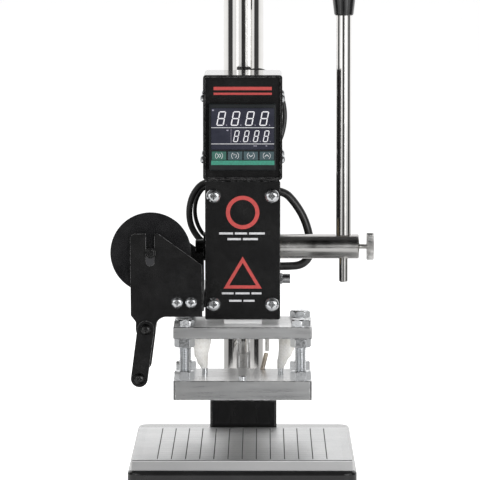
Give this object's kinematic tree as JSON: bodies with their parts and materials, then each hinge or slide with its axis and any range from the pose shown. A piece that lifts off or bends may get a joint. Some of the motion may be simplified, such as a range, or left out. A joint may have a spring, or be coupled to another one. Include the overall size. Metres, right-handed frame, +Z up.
{
  "type": "hot foil stamper",
  "caption": "Bench hot foil stamping press: a heated plate driven down by a lever, rack and pinion on a column head, with foil reel holder, temperature controller and lined platen.",
  "frame": {"origin": "the point under the ram's axis, on the surface that the feet stand on", "axes": "+X to the machine's right seen from the front, +Y to the back towards the column, +Z up along the column"},
  "size_m": [0.1911, 0.263, 0.436],
  "materials": {
    "painted_black": "satin black powder coat",
    "base_paint": "black crinkle-free enamel",
    "machined_aluminium": "milled aluminium, fine tool marks",
    "platen_aluminium": "sanded aluminium with engraved lines",
    "chrome_steel": "hard chromed bar",
    "ground_steel": "ground steel",
    "zinc_steel": "zinc plated steel",
    "black_steel": "black oxide steel",
    "bronze": "sintered bronze",
    "brass": "brass strip",
    "rubber": "moulded rubber",
    "black_gloss_plastic": "moulded phenolic",
    "black_plastic": "moulded plastic",
    "display_window": "tinted display window",
    "key_green": "printed membrane key",
    "key_grey": "printed membrane key",
    "glass_sleeve": "braided glass fibre sleeve",
    "cable_jacket": "smooth rubber jacket",
    "probe_steel": "heat tinted stainless steel",
    "core_board": "grey plastic tube"
  },
  "bodies": {
    "base": {"base_casting": "base_paint", "base_feet": "rubber", "platen": "platen_aluminium", "base_bolts": "black_steel", "column_socket": "painted_black", "column": "chrome_steel", "column_cap": "black_gloss_plastic"},
    "head": {"head_body": "painted_black", "head_cover": "painted_black", "cover_screws": "zinc_steel", "ram_gib": "brass", "gib_screw": "zinc_steel", "head_bolts": "black_steel", "pinion_bushes": "bronze", "box_shell": "painted_black", "box_front": "painted_black", "box_back": "painted_black", "box_screws": "zinc_steel", "controller_body": "black_plastic", "controller_bezel": "black_plastic", "controller_window": "display_window", "solid_state_relay": "black_plastic", "power_inlet": "black_plastic", "rocker_frame": "black_plastic", "holder_bar": "painted_black", "holder_plates": "painted_black", "holder_screws": "zinc_steel", "axle_saddles": "black_plastic", "cable_grommets": "rubber", "cable_right": "cable_jacket", "cable_left": "cable_jacket", "cable_left_thin": "cable_jacket", "cable_rear": "cable_jacket"},
    "lever": {"pinion_shaft": "ground_steel", "pinion_gear": "ground_steel", "pinion_key": "ground_steel", "shaft_end_screw": "black_steel", "handle_rod": "chrome_steel", "handle_grip": "black_gloss_plastic"},
    "thumbscrew": {"thumbscrew": "ground_steel"},
    "ram": {"ram": "ground_steel", "upper_plate": "machined_aluminium", "ram_screws": "zinc_steel", "levelling_bolts": "zinc_steel", "levelling_nuts": "zinc_steel", "heating_plate": "machined_aluminium", "cartridge_heaters": "zinc_steel", "lead_sleeves": "glass_sleeve", "probe_tube": "probe_steel"},
    "reel_axle": {"reel_axle": "black_steel"},
    "reel": {"reel_core": "core_board", "reel_flanges": "black_gloss_plastic"},
    "guide_arm": {"guide_arms": "painted_black", "guide_rods": "ground_steel", "guide_arm_screws": "black_steel"},
    "power_rocker": {"power_rocker": "black_plastic"},
    "key_1": {"key_1": "key_green"},
    "key_2": {"key_2": "key_grey"},
    "key_3": {"key_3": "key_grey"},
    "key_4": {"key_4": "key_grey"}
  },
  "joints": [
    {"name": "head_height", "type": "slide", "parent": "base", "child": "head", "axis": [0, 0, 1], "range_m": [-0.025, 0.085]},
    {"name": "lever_turn", "type": "hinge", "parent": "head", "child": "lever", "pos_m": [0, 0.02765, 0.1822], "axis": [1, 0, 0], "range_deg": [0, 125]},
    {"name": "ram_slide", "type": "slide", "parent": "head", "child": "ram", "axis": [0, 0, -1], "range_m": [0, 0.0328]},
    {"name": "thumbscrew_turn", "type": "hinge", "parent": "lever", "child": "thumbscrew", "pos_m": [0.09, 0.02765, 0.1822], "axis": [1, 0, 0], "continuous": true},
    {"name": "reel_lift", "type": "slide", "parent": "head", "child": "reel_axle", "axis": [0, 0, 1], "range_m": [0, 0.05]},
    {"name": "reel_spin", "type": "hinge", "parent": "reel_axle", "child": "reel", "pos_m": [-0.0659, 0, 0.184], "axis": [0, 1, 0], "continuous": true},
    {"name": "guide_arm_swing", "type": "hinge", "parent": "head", "child": "guide_arm", "pos_m": [-0.0694, 0, 0.1294], "axis": [0, 1, 0], "range_deg": [-20, 35]},
    {"name": "power_rocker_tilt", "type": "hinge", "parent": "head", "child": "power_rocker", "pos_m": [0.0123, 0.059, 0.291], "axis": [0, 0, 1], "range_deg": [-12, 0]},
    {"name": "key_1_press", "type": "slide", "parent": "head", "child": "key_1", "axis": [0, 1, 0], "range_m": [0, 0.0006], "stiffness_N_per_m": 800, "springref_m": -0.0005},
    {"name": "key_2_press", "type": "slide", "parent": "head", "child": "key_2", "axis": [0, 1, 0], "range_m": [0, 0.0006], "stiffness_N_per_m": 800, "springref_m": -0.0005},
    {"name": "key_3_press", "type": "slide", "parent": "head", "child": "key_3", "axis": [0, 1, 0], "range_m": [0, 0.0006], "stiffness_N_per_m": 800, "springref_m": -0.0005},
    {"name": "key_4_press", "type": "slide", "parent": "head", "child": "key_4", "axis": [0, 1, 0], "range_m": [0, 0.0006], "stiffness_N_per_m": 800, "springref_m": -0.0005}
  ],
  "couplings": [
    {"joint": "ram_slide", "follows": "lever_turn", "m_per_rad": 0.015}
  ]
}
